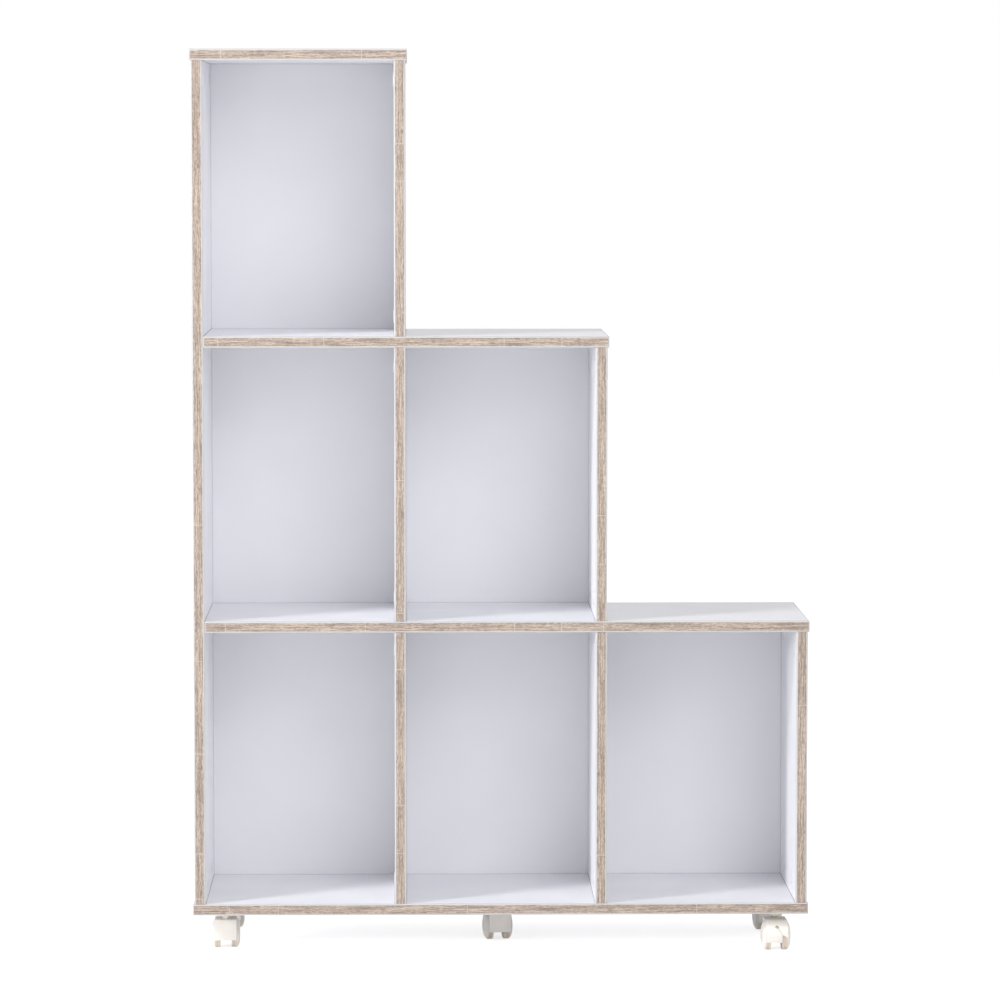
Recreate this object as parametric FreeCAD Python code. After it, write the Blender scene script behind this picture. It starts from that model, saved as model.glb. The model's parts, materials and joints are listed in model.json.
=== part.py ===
import FreeCAD, Part
import math
import os

# Staircase bookshelf on five swivel casters: cubbies in rows of three, two and one.
# Millimetres, +Z up, origin on the floor under the middle of the footprint.
# The open fronts face -Y and the steps go down towards +X.

Vector = FreeCAD.Vector

# Boards
board_thickness = 15.0
cubby_width = 247.0          # clear width between two uprights
cubby_height = 356.0         # clear height between two levels
unit_depth = 250.0           # front of the edge bands to the rear edges of the boards
band_thickness = 2.0
band_rounding = 1.5          # radius worked along the outer edges of a band
rounding_limit = 0.9         # largest share of a wall that a rounding may take

# Back panels, laid over the rear edges of the boards
back_thickness = 3.0
back_inset = 1.5             # from the outer faces of the carcass to the panel edges
back_seam = 1.0              # between two neighbouring back panels
nail_diameter = 1.4
nail_head_diameter = 3.6
nail_head_height = 0.8
nail_length = 18.0
nail_clearance = 0.05
nail_edge_distance = 3.6     # from a nail to the seam edge of its panel
nails_per_upright = 2        # per cubby and side

# Cam bolts, cam locks, cover caps and dowels at every joint of two boards
cam_diameter = 15.0
cam_floor = 2.5              # board left behind the cam pocket
cam_distance = 24.0          # joint plane to the middle of the cam
cam_channel_clearance = 0.4  # around the head of the bolt inside the cam
cam_slot_length = 9.0
cam_slot_width = 1.8
cam_slot_depth = 2.0
bolt_thread_diameter = 6.0
bolt_thread_floor = 4.0      # board left beyond the thread
bolt_collar_diameter = 7.6
bolt_collar_length = 1.2
bolt_shank_diameter = 5.0
bolt_neck_diameter = 3.2
bolt_neck_length = 4.0
bolt_head_diameter = 6.4
bolt_head_length = 2.6
bolt_hole_clearance = 0.2    # around the collar of the bolt
cap_diameter = 17.0
cap_thickness = 0.9
dowel_diameter = 8.0
dowel_in_end = 20.0          # length of a dowel inside the end of its board
dowel_face_floor = 5.0       # board left beyond a dowel in the face of the other board
fitting_clearance = 0.05
hole_end_clearance = 0.4
upper_end_cam_inset = 30.0   # cams at the upper end of a board, from the front and rear edges
lower_end_cam_inset = 62.0   # cams at the lower end, set further in to miss the upper ones
dowel_stagger = 35.0         # from upper to lower dowels, about the middle of the depth

# Casters
caster_end_inset = 39.0      # swivel axis to the end of the carcass
caster_edge_inset = 45.0     # swivel axis to the front and rear planes of the carcass
middle_caster_shift = 22.5   # middle swivel axis in front of the middle between the others
wheel_diameter = 38.0
wheel_width = 11.2
wheel_dome_depth = 4.0       # width of the domed outer face beyond the cylindrical tread
wheel_dome_bulge = 1.4       # rise of the dome above a straight cone
wheel_hub_radius = 8.0       # sunk middle of the domed face
wheel_hub_recess = 0.6
wheel_edge_rounding = 1.0
wheel_side_clearance = 0.5   # wheel to the web of the hood
trail = 16.5                 # swivel axis to wheel axle
hood_width = 29.0
hood_thickness = 1.4
hood_clearance = 1.0         # wheel tread to the inside of the hood
hood_rounding = 0.7
hood_floor_gap = 12.0        # floor to the front edge of the hood and to its web
hood_notch_height = 17.5     # floor to the rear edge of the hood over one of the wheels
hood_front_drop = 0.9        # top of the upright front below the top of the boss
hood_front_wall = 1.5        # front face beyond the boss
hood_front_rounding = 1.4
web_thickness = 14.0
boss_diameter = 10.4
boss_rise = 0.5              # top of the boss above the top of the hood
dimple_diameter = 5.0        # blind hole in the back of the hood
dimple_depth = 2.5
dimple_angle = 38.0          # above the axle, seen from the side
neck_height = 8.1            # visible collar of the kingpin between the plate and the hood
neck_diameter = 10.0
kingpin_diameter = 6.0
kingpin_depth = 16.0         # length of the pin inside the hood
kingpin_rivet_diameter = 5.0
swivel_end_clearance = 0.3
running_clearance = 0.05     # radial, pin to bore
ring_width = 1.2             # grip ring that keeps the hood on the kingpin
ring_from_tip = 4.0
ring_stand = 0.5             # grip ring beyond the surface of the kingpin
ring_groove_depth = 0.6
ring_gap = 1.4               # slit of the split ring
ring_room = 0.3              # around the ring in the groove of the hood
axle_diameter = 5.0
axle_end_wall = 4.2          # wheel left beyond the bore of the axle
plate_size = 38.0
plate_thickness = 2.0
plate_corner_radius = 4.0
screw_edge_margin = 5.5      # plate edge to the middle of a screw
screw_diameter = 3.5
screw_hole_clearance = 0.35  # around a screw in the plate
screw_floor = 4.0            # board left beyond the tip of a screw
screw_head_diameter = 6.8
screw_head_height = 2.0
screw_recess_width = 1.0
screw_recess_length = 3.6
screw_recess_depth = 1.0

# Heading of each caster at rest, in degrees about +Z; at 0 the wheels trail towards the front
caster_heading = {
    "front_left": 181.0,
    "front_right": 2.0,
    "middle": 188.5,
    "rear_left": 181.0,
    "rear_right": 5.0,
}

# Layout worked out from the sizes above
cubbies_in_rows = (3, 2, 1)  # from the bottom row up
columns = cubbies_in_rows[0]
rows = len(cubbies_in_rows)
column_pitch = cubby_width + board_thickness
row_pitch = cubby_height + board_thickness
carcass_width = columns * column_pitch + board_thickness
left_plane = -carcass_width / 2
front_plane = -(unit_depth + back_thickness) / 2
core_front = front_plane + band_thickness
core_rear = front_plane + unit_depth
back_rear = core_rear + back_thickness
wheel_radius = wheel_diameter / 2
hood_inner_radius = wheel_radius + hood_clearance
hood_outer_radius = hood_inner_radius + hood_thickness
boss_top = wheel_radius + hood_outer_radius + boss_rise
plate_bottom = boss_top + swivel_end_clearance + neck_height
caster_height = plate_bottom + plate_thickness
ring_diameter = kingpin_diameter + 2 * ring_stand
axle_in_wheel = wheel_side_clearance + wheel_width - axle_end_wall - swivel_end_clearance
screw_hole_diameter = screw_diameter + 2 * screw_hole_clearance
axis_x = Vector(1, 0, 0)
axis_y = Vector(0, 1, 0)
axis_z = Vector(0, 0, 1)


def upright_left(index):
    return left_plane + index * column_pitch


def upright_right(index):
    return upright_left(index) + board_thickness


def level_bottom(index):
    return caster_height + index * row_pitch


def level_top(index):
    return level_bottom(index) + board_thickness


# Each board by its name, as its extent in x and z
horizontal_boards = {
    "bottom_panel": (upright_left(0), upright_right(cubbies_in_rows[0]), level_bottom(0), level_top(0)),
    "lower_shelf": (upright_right(0), upright_right(cubbies_in_rows[0]), level_bottom(1), level_top(1)),
    "upper_shelf": (upright_right(0), upright_right(cubbies_in_rows[1]), level_bottom(2), level_top(2)),
    "top_panel": (upright_left(0), upright_right(cubbies_in_rows[2]), level_bottom(3), level_top(3)),
}
level_names = list(horizontal_boards)

# The upright that closes or divides a row, by its place from the left and its row from the bottom
row_uprights = {
    (1, 0): "bottom_row_left_divider",
    (2, 0): "bottom_row_right_divider",
    (3, 0): "bottom_row_right_side",
    (1, 1): "middle_row_divider",
    (2, 1): "middle_row_right_side",
    (1, 2): "top_row_right_side",
}
upright_boards = {
    "left_side_panel": (upright_left(0), upright_right(0), level_top(0), level_bottom(rows)),
}
for (place, row), name in row_uprights.items():
    upright_boards[name] = (upright_left(place), upright_right(place), level_top(row), level_bottom(row + 1))

# Horizontal boards that are banded at an end: -1 for the left end, 1 for the right end
banded_ends = {
    "bottom_panel": (-1, 1),
    "lower_shelf": (1,),
    "upper_shelf": (1,),
    "top_panel": (-1, 1),
}

all_boards = {**horizontal_boards, **upright_boards}
board_cuts = {name: [] for name in all_boards}
groups = {
    "wooden_dowels": [],
    "cam_bolts": [],
    "cam_locks": [],
    "cam_cover_caps": [],
    "back_panel_nails": [],
    "caster_screws": [],
    "caster_kingpins": [],
    "caster_grip_rings": [],
}


def box(x0, x1, y0, y1, z0, z1):
    return Part.makeBox(x1 - x0, y1 - y0, z1 - z0, Vector(x0, y0, z0))


def rod(start, direction, length, diameter):
    return Part.makeCylinder(diameter / 2, length, start, direction)


def export(node, solids):
    shape = solids[0] if len(solids) == 1 else Part.makeCompound(solids)
    shape.exportStep("parts/" + node + ".step")


# A bar lying in the face of a cam along the depth of the unit, for the cam's slot and the cap's tongue
def face_bar(middle, outward, length, width, depth):
    along = axis_y
    across = outward.cross(along)
    corner = middle - along * (length / 2) - across * (width / 2) - outward * depth
    bar = Part.makeBox(length, width, depth)
    turn = FreeCAD.Rotation(along, across, outward, "XYZ")
    bar.Placement = FreeCAD.Placement(corner, turn)
    return bar


# Depth that a fitting reaches into the face of a board which keeps a floor beyond it
def depth_leaving(floor):
    return board_thickness - floor


# One cam bolt through the joint plane, with its cam lock and cover cap
def add_cam_fitting(end_board, face_board, joint_point, outward, cam_side):
    inward = outward * -1
    thread_length = depth_leaving(bolt_thread_floor)
    neck_start = cam_distance - bolt_neck_length
    bolt_parts = [
        rod(joint_point, outward, thread_length, bolt_thread_diameter),
        rod(joint_point, inward, bolt_collar_length, bolt_collar_diameter),
        rod(joint_point, inward, neck_start, bolt_shank_diameter),
        rod(joint_point, inward, cam_distance, bolt_neck_diameter),
        rod(joint_point + inward * cam_distance, inward, bolt_head_length, bolt_head_diameter),
    ]
    groups["cam_bolts"].append(bolt_parts[0].fuse(bolt_parts[1:]).removeSplitter())

    thread_hole = bolt_thread_diameter + 2 * fitting_clearance
    board_cuts[face_board].append(rod(joint_point, outward, thread_length + hole_end_clearance, thread_hole))
    bolt_hole = bolt_collar_diameter + 2 * bolt_hole_clearance
    board_cuts[end_board].append(rod(joint_point, inward, cam_distance, bolt_hole))

    cam_depth = board_thickness - cam_floor
    cam_middle = joint_point + inward * cam_distance
    cam_face = cam_middle + cam_side * (board_thickness / 2)
    pocket_diameter = cam_diameter + 2 * fitting_clearance
    pocket_depth = cam_depth + fitting_clearance
    board_cuts[end_board].append(rod(cam_face, cam_side * -1, pocket_depth, pocket_diameter))

    channel_end = cam_middle + inward * (bolt_head_length + hole_end_clearance)
    channel_length = cam_diameter / 2 + bolt_head_length + hole_end_clearance
    cam = rod(cam_face, cam_side * -1, cam_depth, cam_diameter)
    channel_diameter = bolt_head_diameter + 2 * cam_channel_clearance
    channel = rod(channel_end, outward, channel_length, channel_diameter)
    slot = face_bar(cam_face, cam_side, cam_slot_length, cam_slot_width, cam_slot_depth)
    groups["cam_locks"].append(cam.cut([channel, slot]))

    tongue_length = cam_slot_length - 4 * fitting_clearance
    tongue_width = cam_slot_width - 4 * fitting_clearance
    tongue_depth = cam_slot_depth - hole_end_clearance
    tongue = face_bar(cam_face, cam_side, tongue_length, tongue_width, tongue_depth)
    cap = rod(cam_face, cam_side, cap_thickness, cap_diameter)
    groups["cam_cover_caps"].append(cap.fuse(tongue).removeSplitter())


def add_dowel(end_board, face_board, joint_point, outward):
    face_depth = depth_leaving(dowel_face_floor)
    start = joint_point - outward * dowel_in_end
    groups["wooden_dowels"].append(rod(start, outward, dowel_in_end + face_depth, dowel_diameter))
    hole = dowel_diameter + 2 * fitting_clearance
    board_cuts[end_board].append(rod(joint_point, outward * -1, dowel_in_end + hole_end_clearance, hole))
    board_cuts[face_board].append(rod(joint_point, outward, face_depth + hole_end_clearance, hole))


# Two cam fittings and a dowel where the end of one board meets the face of another
def add_joint(end_board, face_board, x, z, outward, cam_side, cam_inset, dowel_offset):
    for y in (front_plane + cam_inset, core_rear - cam_inset):
        add_cam_fitting(end_board, face_board, Vector(x, y, z), outward, cam_side)
    middle_of_depth = (front_plane + core_rear) / 2
    add_dowel(end_board, face_board, Vector(x, middle_of_depth + dowel_offset, z), outward)


def add_all_joints():
    for name, (x0, x1, z0, z1) in upright_boards.items():
        middle = (x0 + x1) / 2
        cam_side = axis_x if name == "left_side_panel" else axis_x * -1
        below = [level for level, extent in horizontal_boards.items() if abs(extent[3] - z0) < 1e-6][0]
        above = [level for level, extent in horizontal_boards.items() if abs(extent[2] - z1) < 1e-6][0]
        add_joint(name, above, middle, z1, axis_z, cam_side, upper_end_cam_inset, -dowel_stagger / 2)
        add_joint(name, below, middle, z0, axis_z * -1, cam_side, lower_end_cam_inset, dowel_stagger / 2)
    for name in ("lower_shelf", "upper_shelf"):
        x0, x1, z0, z1 = horizontal_boards[name]
        add_joint(name, "left_side_panel", x0, (z0 + z1) / 2, axis_x * -1, axis_z * -1,
                  upper_end_cam_inset, -dowel_stagger / 2)


def upright_name(place, row):
    return "left_side_panel" if place == 0 else row_uprights[(place, row)]


# Back panel of one column, with its nails into the boards around the cubbies
def make_back_panel(column):
    top_level = rows - column
    last_column = column == columns - 1
    x0 = upright_left(0) + back_inset
    if column > 0:
        x0 = upright_left(column) + board_thickness / 2 + back_seam / 2
    x1 = upright_left(column + 1) + board_thickness / 2 - back_seam / 2
    if last_column:
        x1 = upright_right(columns) - back_inset
    panel = box(x0, x1, core_rear, back_rear, level_bottom(0) + back_inset, level_top(top_level) - back_inset)

    left_nails = x0 + nail_edge_distance
    right_nails = x1 - nail_edge_distance
    nails = []
    for row in range(top_level):
        for step in range(nails_per_upright):
            z = level_top(row) + cubby_height * (step + 0.5) / nails_per_upright
            nails.append((upright_name(column, row), left_nails, z))
            nails.append((upright_name(column + 1, row), right_nails, z))
    for level in range(top_level + 1):
        nails.append((level_names[level], (x0 + x1) / 2, level_bottom(level) + board_thickness / 2))

    cuts = []
    shank_hole = nail_diameter + 2 * nail_clearance
    head_hole = nail_head_diameter + 2 * nail_clearance
    for board, x, z in nails:
        head_outside = Vector(x, back_rear, z)
        shank = rod(head_outside, axis_y * -1, nail_length, nail_diameter)
        head = rod(head_outside, axis_y * -1, nail_head_height, nail_head_diameter)
        groups["back_panel_nails"].append(shank.fuse(head).removeSplitter())
        hole = rod(head_outside, axis_y * -1, nail_length + hole_end_clearance, shank_hole)
        cuts.append(hole)
        cuts.append(rod(head_outside, axis_y * -1, nail_head_height, head_hole))
        board_cuts[board].append(hole)
    return panel.cut(cuts)


def make_board(name):
    x0, x1, z0, z1 = all_boards[name]
    return box(x0, x1, core_front, core_rear, z0, z1).cut(board_cuts[name])


def rounding_radius():
    return min(band_rounding, rounding_limit * band_thickness)


# Band along the front edge of a board, rounded where it is trimmed
def front_band(name):
    x0, x1, z0, z1 = all_boards[name]
    ends = banded_ends.get(name, ())
    if -1 in ends:
        x0 -= band_thickness
    if 1 in ends:
        x1 += band_thickness
    strip = box(x0, x1, front_plane, core_front, z0, z1)
    front_edges = [edge for edge in strip.Edges if edge.BoundBox.YMax < front_plane + 1e-6]
    if name in upright_boards:
        front_edges = [edge for edge in front_edges if edge.BoundBox.ZLength > edge.BoundBox.XLength]
    return strip.makeFillet(rounding_radius(), front_edges)


# Band on the free end of a horizontal board, from the front band to the rear edge
def end_band(name, side):
    x0, x1, z0, z1 = all_boards[name]
    core_end = x0 if side < 0 else x1
    outside = core_end + side * band_thickness
    strip = box(min(core_end, outside), max(core_end, outside), core_front, core_rear, z0, z1)
    long_edges = [edge for edge in strip.Edges
                  if abs(edge.BoundBox.Center.x - outside) < 1e-6 and edge.BoundBox.YLength > board_thickness]
    return strip.makeFillet(rounding_radius(), long_edges)


def make_bands(name):
    return [front_band(name)] + [end_band(name, side) for side in banded_ends.get(name, ())]


# Caster pieces are drawn about the swivel axis, with the wheels trailing towards -Y
def axle_point(x):
    return Vector(x, -trail, wheel_radius)


# Upper front edge of the hood's upright front
def is_brow(edge):
    bounds = edge.BoundBox
    return bounds.YMin > 0 and bounds.ZMin > hood_floor_gap + hood_front_rounding


def make_hood():
    half_web = web_thickness / 2
    half_hood = hood_width / 2
    drum = rod(axle_point(-half_hood), axis_x, hood_width, 2 * hood_outer_radius)
    arcs = [edge for edge in drum.Edges if edge.BoundBox.XLength < 1e-6]
    drum = drum.makeFillet(min(hood_rounding, rounding_limit * hood_thickness), arcs)
    far = 2 * hood_outer_radius
    below = box(-far, far, -far - trail, far, -far, hood_floor_gap)
    notch = box(half_web, far, -far - trail, -trail, -far, hood_notch_height)
    wheel_rooms = [
        rod(axle_point(half_web), axis_x, hood_width, 2 * hood_inner_radius),
        rod(axle_point(-half_web), axis_x * -1, hood_width, 2 * hood_inner_radius),
    ]
    web = rod(axle_point(-half_web), axis_x, web_thickness, 2 * hood_outer_radius)
    boss = rod(Vector(0, 0, wheel_radius), axis_z, boss_top - wheel_radius, boss_diameter)
    front_face = boss_diameter / 2 + hood_front_wall
    front = box(-half_hood, half_hood, -trail, front_face, hood_floor_gap, boss_top - hood_front_drop)
    brow = [edge for edge in front.Edges if is_brow(edge)]
    front = front.makeFillet(hood_front_rounding, brow)
    body = drum.cut([below, notch]).fuse([web.cut(below), front, boss]).cut(wheel_rooms)

    bore_depth = kingpin_depth + swivel_end_clearance
    mouth = Vector(0, 0, boss_top)
    bore = rod(mouth, axis_z * -1, bore_depth, kingpin_diameter + 2 * running_clearance)
    ring_room_top = mouth - axis_z * (ring_start() - ring_room)
    groove = rod(ring_room_top, axis_z * -1, ring_width + 2 * ring_room, ring_diameter + 2 * ring_room)
    axle_hole = rod(axle_point(-half_web), axis_x, web_thickness, axle_diameter + 2 * fitting_clearance)
    tilt = math.radians(dimple_angle)
    rearward = Vector(0, -math.cos(tilt), math.sin(tilt))
    dimple_floor = axle_point(0) + rearward * (hood_outer_radius - dimple_depth)
    dimple = rod(dimple_floor, rearward, far, dimple_diameter)
    return body.cut([bore, groove, axle_hole, dimple]).removeSplitter()


# Distance of the grip ring's upper side below the mouth of the bore
def ring_start():
    return kingpin_depth - ring_from_tip - ring_width


def make_kingpin():
    mouth = Vector(0, 0, boss_top)
    pin_top = mouth + axis_z * swivel_end_clearance
    tip = mouth - axis_z * kingpin_depth
    pin = rod(tip, axis_z, kingpin_depth + swivel_end_clearance, kingpin_diameter)
    neck = rod(pin_top, axis_z, neck_height, neck_diameter)
    rivet = rod(pin_top + axis_z * neck_height, axis_z, plate_thickness, kingpin_rivet_diameter)
    groove_start = mouth - axis_z * ring_start()
    groove = rod(groove_start, axis_z * -1, ring_width, ring_diameter)
    core = rod(groove_start, axis_z * -1, ring_width, kingpin_diameter - 2 * ring_groove_depth)
    return pin.cut(groove).fuse([core, neck, rivet]).removeSplitter()


def make_grip_ring():
    height = ring_width - 2 * fitting_clearance
    start = Vector(0, 0, boss_top - ring_start() - fitting_clearance)
    inner = kingpin_diameter - 2 * ring_groove_depth + 2 * fitting_clearance
    ring = rod(start, axis_z * -1, height, ring_diameter)
    hole = rod(start, axis_z * -1, height, inner)
    slit = box(-ring_gap / 2, ring_gap / 2, 0, ring_diameter, start.z - height, start.z)
    return ring.cut([hole, slit])


def make_plate():
    half = plate_size / 2
    plate = box(-half, half, -half, half, plate_bottom, caster_height)
    corners = [edge for edge in plate.Edges if edge.BoundBox.ZLength > plate_thickness / 2]
    plate = plate.makeFillet(plate_corner_radius, corners)
    rivet_hole = kingpin_rivet_diameter + 2 * fitting_clearance
    holes = [rod(Vector(0, 0, plate_bottom), axis_z, plate_thickness, rivet_hole)]
    for x, y in screw_places():
        holes.append(rod(Vector(x, y, plate_bottom), axis_z, plate_thickness, screw_hole_diameter))
    return plate.cut(holes)


def screw_places():
    reach = plate_size / 2 - screw_edge_margin
    return [(sx * reach, sy * reach) for sx in (-1, 1) for sy in (-1, 1)]


def make_screw(x, y):
    under = Vector(x, y, plate_bottom)
    shank = rod(under, axis_z, plate_thickness + depth_leaving(screw_floor), screw_diameter)
    head = rod(under - axis_z * screw_head_height, axis_z, screw_head_height, screw_head_diameter)
    rim = [edge for edge in head.Edges if edge.BoundBox.ZMax < under.z - screw_head_height / 2]
    head = head.makeFillet(screw_head_height / 2, rim)
    bottom = under - axis_z * screw_head_height
    half = screw_recess_length / 2
    thin = screw_recess_width / 2
    top = bottom.z + screw_recess_depth
    recess_x = box(x - half, x + half, y - thin, y + thin, bottom.z, top)
    recess_y = box(x - thin, x + thin, y - half, y + half, bottom.z, top)
    return shank.fuse(head).cut([recess_x, recess_y]).removeSplitter()


# Wheel turned about its axle: flat inner face, cylindrical tread and domed outer face, on the side given
def make_wheel(side):
    inner = web_thickness / 2 + wheel_side_clearance
    outer = inner + wheel_width
    dome_start = outer - wheel_dome_depth
    dome_fall = wheel_radius - wheel_hub_radius
    dome_normal = Vector(dome_fall, outer - dome_start, 0).normalize()
    chord_middle = Vector((dome_start + outer) / 2, (wheel_radius + wheel_hub_radius) / 2, 0)
    hub_floor = outer - wheel_hub_recess
    bore_radius = axle_diameter / 2 + running_clearance
    bore_end = outer - axle_end_wall
    points = {
        "bore_mouth": Vector(inner, bore_radius, 0),
        "inner_edge": Vector(inner, wheel_radius - wheel_edge_rounding, 0),
        "tread_start": Vector(inner + wheel_edge_rounding, wheel_radius, 0),
        "tread_end": Vector(dome_start, wheel_radius, 0),
        "dome_middle": chord_middle + dome_normal * wheel_dome_bulge,
        "hub_edge": Vector(outer, wheel_hub_radius, 0),
        "hub_corner": Vector(hub_floor, wheel_hub_radius - wheel_hub_recess, 0),
        "hub_middle": Vector(hub_floor, 0, 0),
        "bore_tip": Vector(bore_end, 0, 0),
        "bore_corner": Vector(bore_end, bore_radius, 0),
    }
    bend = wheel_edge_rounding * (1 - math.sqrt(0.5))
    edge_middle = Vector(inner + bend, wheel_radius - bend, 0)
    outline = [
        Part.LineSegment(points["bore_mouth"], points["inner_edge"]).toShape(),
        Part.Arc(points["inner_edge"], edge_middle, points["tread_start"]).toShape(),
        Part.LineSegment(points["tread_start"], points["tread_end"]).toShape(),
        Part.Arc(points["tread_end"], points["dome_middle"], points["hub_edge"]).toShape(),
        Part.LineSegment(points["hub_edge"], points["hub_corner"]).toShape(),
        Part.LineSegment(points["hub_corner"], points["hub_middle"]).toShape(),
        Part.LineSegment(points["hub_middle"], points["bore_tip"]).toShape(),
        Part.LineSegment(points["bore_tip"], points["bore_corner"]).toShape(),
        Part.LineSegment(points["bore_corner"], points["bore_mouth"]).toShape(),
    ]
    wheel = Part.Face(Part.Wire(outline)).revolve(Vector(0, 0, 0), axis_x, 360)
    if side < 0:
        wheel.rotate(Vector(0, 0, 0), axis_z, 180)
    wheel.translate(axle_point(0))
    return wheel


def make_axle():
    half = web_thickness / 2 + axle_in_wheel
    return rod(axle_point(-half), axis_x, 2 * half, axle_diameter)


def caster_place(corner):
    x = carcass_width / 2 - caster_end_inset
    front = front_plane + caster_edge_inset
    rear = core_rear - caster_edge_inset
    return {
        "front_left": Vector(-x, front, 0),
        "front_right": Vector(x, front, 0),
        "middle": Vector(0, (front + rear) / 2 - middle_caster_shift, 0),
        "rear_left": Vector(-x, rear, 0),
        "rear_right": Vector(x, rear, 0),
    }[corner]


def placed(shape, place, heading=0.0):
    shape = shape.copy()
    shape.rotate(Vector(0, 0, 0), axis_z, heading)
    shape.translate(place)
    return shape


def add_caster(corner):
    place = caster_place(corner)
    heading = caster_heading[corner]
    export(corner + "_caster_plate", [placed(make_plate(), place)])
    export(corner + "_caster_hood", [placed(make_hood(), place, heading)])
    export(corner + "_caster_axle", [placed(make_axle(), place, heading)])
    # Left and right are those of the bookshelf, with the caster at rest
    left = -1 if math.cos(math.radians(heading)) > 0 else 1
    export(corner + "_caster_left_wheel", [placed(make_wheel(left), place, heading)])
    export(corner + "_caster_right_wheel", [placed(make_wheel(-left), place, heading)])
    groups["caster_kingpins"].append(placed(make_kingpin(), place))
    groups["caster_grip_rings"].append(placed(make_grip_ring(), place))
    pilot = screw_diameter + 2 * fitting_clearance
    for x, y in screw_places():
        groups["caster_screws"].append(placed(make_screw(x, y), place))
        foot = place + Vector(x, y, caster_height)
        pilot_depth = depth_leaving(screw_floor) + hole_end_clearance
        board_cuts["bottom_panel"].append(rod(foot, axis_z, pilot_depth, pilot))


os.makedirs("parts", exist_ok=True)
add_all_joints()
for corner in caster_heading:
    add_caster(corner)
for column, node in enumerate(("back_panel_left", "back_panel_middle", "back_panel_right")):
    export(node, [make_back_panel(column)])
for name in all_boards:
    export(name, [make_board(name)])
    export(name + "_edge_band", make_bands(name))
for node, solids in groups.items():
    export(node, solids)
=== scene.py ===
import json
import math

import bpy
from mathutils import Matrix, Vector


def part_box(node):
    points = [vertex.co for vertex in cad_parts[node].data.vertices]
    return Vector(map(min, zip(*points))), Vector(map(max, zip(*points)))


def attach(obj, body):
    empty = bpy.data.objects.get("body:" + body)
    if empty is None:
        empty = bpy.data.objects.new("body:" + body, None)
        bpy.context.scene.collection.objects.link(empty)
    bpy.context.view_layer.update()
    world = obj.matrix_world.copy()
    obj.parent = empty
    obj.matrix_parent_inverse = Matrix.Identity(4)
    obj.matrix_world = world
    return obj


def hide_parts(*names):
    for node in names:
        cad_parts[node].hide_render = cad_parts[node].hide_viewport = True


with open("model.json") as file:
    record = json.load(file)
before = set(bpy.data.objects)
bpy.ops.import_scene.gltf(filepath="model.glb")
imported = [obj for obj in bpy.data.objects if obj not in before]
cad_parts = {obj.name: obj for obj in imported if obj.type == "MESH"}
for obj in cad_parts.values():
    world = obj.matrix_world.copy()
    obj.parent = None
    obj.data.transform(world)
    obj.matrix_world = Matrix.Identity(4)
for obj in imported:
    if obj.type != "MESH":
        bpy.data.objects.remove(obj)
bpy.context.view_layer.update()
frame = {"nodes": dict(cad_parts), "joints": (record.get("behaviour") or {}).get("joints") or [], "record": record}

mm = 0.001
joints = {joint["name"]: joint for joint in frame["joints"]}
slotOf = {part["node"]: part["material_slot"] for part in frame["record"]["subparts"]}
print("Bookcase loaded with", len(frame["nodes"]), "nodes")


# sRGB hex to the linear colour that a shader works in
def linear(hexText):
    channels = [int(hexText[i:i + 2], 16) / 255 for i in (1, 3, 5)]
    return [c / 12.92 if c <= 0.04045 else ((c + 0.055) / 1.055) ** 2.4 for c in channels] + [1.0]


# a node with its settings, which are properties or sockets, and what feeds it
def addNode(tree, kind, settings=None, links=None):
    node = tree.nodes.new("ShaderNode" + kind)
    for key, value in (settings or {}).items():
        if key == "stops":
            while len(node.color_ramp.elements) < len(value):
                node.color_ramp.elements.new(0.5)
            for element, (position, colour) in zip(node.color_ramp.elements, value):
                element.position = position
                element.color = colour
        elif isinstance(key, str) and key in node.bl_rna.properties:
            setattr(node, key, value)
        else:
            node.inputs[key].default_value = value
    for key, socket in (links or {}).items():
        tree.links.new(socket, node.inputs[key])
    return node


# sockets of a Mix node that mixes colours
mixShare, mixBase, mixOver, mixResult = 0, 6, 7, 2

mottleStops = (0.35, 0.65)   # noise values at which each of two tones is pure
noiseSpan = (0.3, 0.7)       # where most values of a noise lie


def startMaterial(name):
    material = bpy.data.materials.new(name)
    material.use_nodes = True
    material.node_tree.nodes.clear()
    return material, material.node_tree


def endMaterial(tree, settings, links):
    shader = addNode(tree, "BsdfPrincipled", settings, links)
    addNode(tree, "OutputMaterial", {}, {"Surface": shader.outputs["BSDF"]})


# two close tones that drift into each other in soft clouds
def mottledColour(tree, place, size, detail, tones):
    cloud = addNode(tree, "TexNoise", {"Scale": 1 / (size * mm), "Detail": detail}, {"Vector": place})
    stops = [(stop, linear(tone)) for stop, tone in zip(mottleStops, tones)]
    return addNode(tree, "ValToRGB", {"stops": stops}, {"Fac": cloud.outputs["Fac"]}).outputs["Color"]


# fine unevenness of a surface, as a noise and as the normal that it gives
def fineGrain(tree, place, finish):
    grain = addNode(tree, "TexNoise", {"Scale": 1 / (finish["grainSize"] * mm),
                                       "Detail": finish["grainDetail"]}, {"Vector": place}).outputs["Fac"]
    bump = addNode(tree, "Bump", {"Strength": finish["grainStrength"],
                                  "Distance": finish["grainHeight"] * mm}, {"Height": grain})
    return grain, bump.outputs["Normal"]


# painted shade where two boards meet: the colour darkens within a gap's width of another surface, standing in for
# the shadow in the joint
paintedJointShade = {
    "colour": "#8E8E9A",
    "width": 1.3,            # mm
    "samples": 8,
    "closed": 0.55,          # share of open surroundings at which the line is full
    "open": 0.95,            # and at which it ends
}


# paints the joint shade into a colour, darker the more closed in a point is
def addPaintedJointShade(tree, colour, strength):
    near = addNode(tree, "AmbientOcclusion", {"samples": paintedJointShade["samples"],
                                              "Distance": paintedJointShade["width"] * mm})
    mask = addNode(tree, "MapRange", {"From Min": paintedJointShade["closed"], "From Max": paintedJointShade["open"],
                                      "To Min": strength, "To Max": 0.0}, {"Value": near.outputs["AO"]})
    lined = addNode(tree, "Mix", {"data_type": "RGBA", mixOver: linear(paintedJointShade["colour"])},
                    {mixShare: mask.outputs["Result"], mixBase: colour})
    return lined.outputs[mixResult]


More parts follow.
